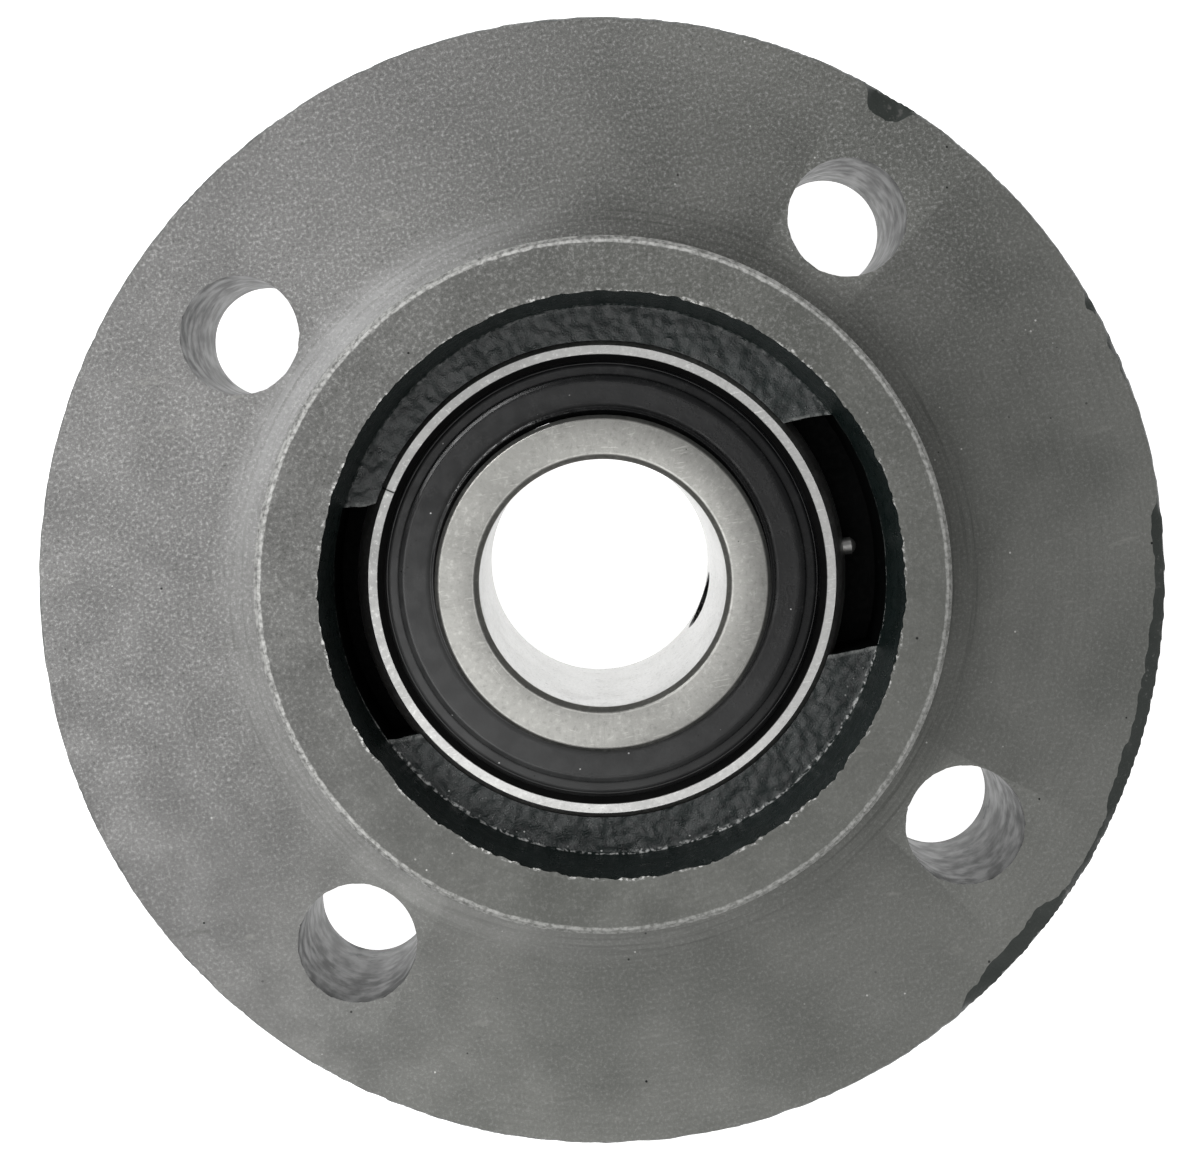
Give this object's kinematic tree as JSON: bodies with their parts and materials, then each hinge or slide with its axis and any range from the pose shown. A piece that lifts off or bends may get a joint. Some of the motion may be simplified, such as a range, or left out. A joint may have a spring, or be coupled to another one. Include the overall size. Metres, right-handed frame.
{
  "type": "flange mount bearing",
  "caption": "Round cast iron flange housing with bolt holes and a raised spigot, holding a self-aligning ball bearing insert with rubber seals and set screws.",
  "frame": {"origin": "on the shaft axis, in the plane of the mounting face, at the centre of the bolt circle", "axes": "+Z along the shaft towards the mounting side (the spigot), +X towards the loading slot that holds the anti-rotation pin, bolt holes at 45 degrees to +X"},
  "size_m": [0.116, 0.116, 0.0358],
  "materials": {
    "cast_iron": "machined grey face, dark paint on the cast surfaces",
    "bearing_steel": "fine ground",
    "ball_steel": "polished",
    "pressed_steel": "satin",
    "seal_rubber": "matt black",
    "seal_steel": "satin",
    "screw_steel": "black oxide",
    "nipple_steel": "yellow zinc plated",
    "spring_steel": "bright wire"
  },
  "bodies": {
    "flange_unit": {"housing": "cast_iron", "grease_nipple": "nipple_steel", "nipple_spring": "spring_steel"},
    "check_valve": {"nipple_check_ball": "ball_steel"},
    "insert": {"outer_ring": "bearing_steel", "anti_rotation_pin": "bearing_steel", "seal_core_back": "seal_steel", "seal_rubber_back": "seal_rubber", "seal_core_front": "seal_steel", "seal_rubber_front": "seal_rubber"},
    "cage": {"cage_back": "pressed_steel", "cage_front": "pressed_steel", "cage_rivets": "pressed_steel"},
    "ball_1_body": {"ball_1": "ball_steel"},
    "ball_2_body": {"ball_2": "ball_steel"},
    "ball_3_body": {"ball_3": "ball_steel"},
    "ball_4_body": {"ball_4": "ball_steel"},
    "ball_5_body": {"ball_5": "ball_steel"},
    "ball_6_body": {"ball_6": "ball_steel"},
    "ball_7_body": {"ball_7": "ball_steel"},
    "ball_8_body": {"ball_8": "ball_steel"},
    "ball_9_body": {"ball_9": "ball_steel"},
    "inner": {"inner_ring": "bearing_steel"},
    "screw_1": {"set_screw_1": "screw_steel"},
    "screw_2": {"set_screw_2": "screw_steel"}
  },
  "joints": [
    {"name": "insert_align", "type": "hinge", "parent": "flange_unit", "child": "insert", "pos_m": [0, 0, -0.01], "axis": [1, 0, 0], "range_deg": [-2, 2]},
    {"name": "shaft_spin", "type": "hinge", "parent": "insert", "child": "inner", "pos_m": [0, 0, -0.01], "axis": [0, 0, 1], "continuous": true},
    {"name": "cage_spin", "type": "hinge", "parent": "insert", "child": "cage", "pos_m": [0, 0, -0.01], "axis": [0, 0, 1], "continuous": true},
    {"name": "ball_1_spin", "type": "hinge", "parent": "cage", "child": "ball_1_body", "pos_m": [0.01952, 0, -0.01], "axis": [0, 0, 1], "continuous": true},
    {"name": "ball_2_spin", "type": "hinge", "parent": "cage", "child": "ball_2_body", "pos_m": [0.01495, 0.01255, -0.01], "axis": [0, 0, 1], "continuous": true},
    {"name": "ball_3_spin", "type": "hinge", "parent": "cage", "child": "ball_3_body", "pos_m": [0.00339, 0.01922, -0.01], "axis": [0, 0, 1], "continuous": true},
    {"name": "ball_4_spin", "type": "hinge", "parent": "cage", "child": "ball_4_body", "pos_m": [-0.00976, 0.0169, -0.01], "axis": [0, 0, 1], "continuous": true},
    {"name": "ball_5_spin", "type": "hinge", "parent": "cage", "child": "ball_5_body", "pos_m": [-0.01834, 0.00668, -0.01], "axis": [0, 0, 1], "continuous": true},
    {"name": "ball_6_spin", "type": "hinge", "parent": "cage", "child": "ball_6_body", "pos_m": [-0.01834, -0.00668, -0.01], "axis": [0, 0, 1], "continuous": true},
    {"name": "ball_7_spin", "type": "hinge", "parent": "cage", "child": "ball_7_body", "pos_m": [-0.00976, -0.0169, -0.01], "axis": [0, 0, 1], "continuous": true},
    {"name": "ball_8_spin", "type": "hinge", "parent": "cage", "child": "ball_8_body", "pos_m": [0.00339, -0.01922, -0.01], "axis": [0, 0, 1], "continuous": true},
    {"name": "ball_9_spin", "type": "hinge", "parent": "cage", "child": "ball_9_body", "pos_m": [0.01495, -0.01255, -0.01], "axis": [0, 0, 1], "continuous": true},
    {"name": "set_screw_1_travel", "type": "slide", "parent": "inner", "child": "screw_1", "axis": [0.8572, -0.515, 0], "range_m": [-0.0004, 0.002]},
    {"name": "set_screw_2_travel", "type": "slide", "parent": "inner", "child": "screw_2", "axis": [0.0175, 0.9998, 0], "range_m": [-0.0004, 0.002]},
    {"name": "nipple_check", "type": "slide", "parent": "flange_unit", "child": "check_valve", "axis": [0, -0.9063, 0.4226], "range_m": [0, 0.0008], "stiffness_N_per_m": 300, "springref_m": -0.0003, "deforming": ["nipple_spring"]}
  ],
  "couplings": [
    {"joint": "cage_spin", "follows": "shaft_spin", "ratio": 0.39833},
    {"joint": "ball_1_spin", "follows": "shaft_spin", "ratio": -2.3574},
    {"joint": "ball_2_spin", "follows": "shaft_spin", "ratio": -2.3574},
    {"joint": "ball_3_spin", "follows": "shaft_spin", "ratio": -2.3574},
    {"joint": "ball_4_spin", "follows": "shaft_spin", "ratio": -2.3574},
    {"joint": "ball_5_spin", "follows": "shaft_spin", "ratio": -2.3574},
    {"joint": "ball_6_spin", "follows": "shaft_spin", "ratio": -2.3574},
    {"joint": "ball_7_spin", "follows": "shaft_spin", "ratio": -2.3574},
    {"joint": "ball_8_spin", "follows": "shaft_spin", "ratio": -2.3574},
    {"joint": "ball_9_spin", "follows": "shaft_spin", "ratio": -2.3574}
  ]
}
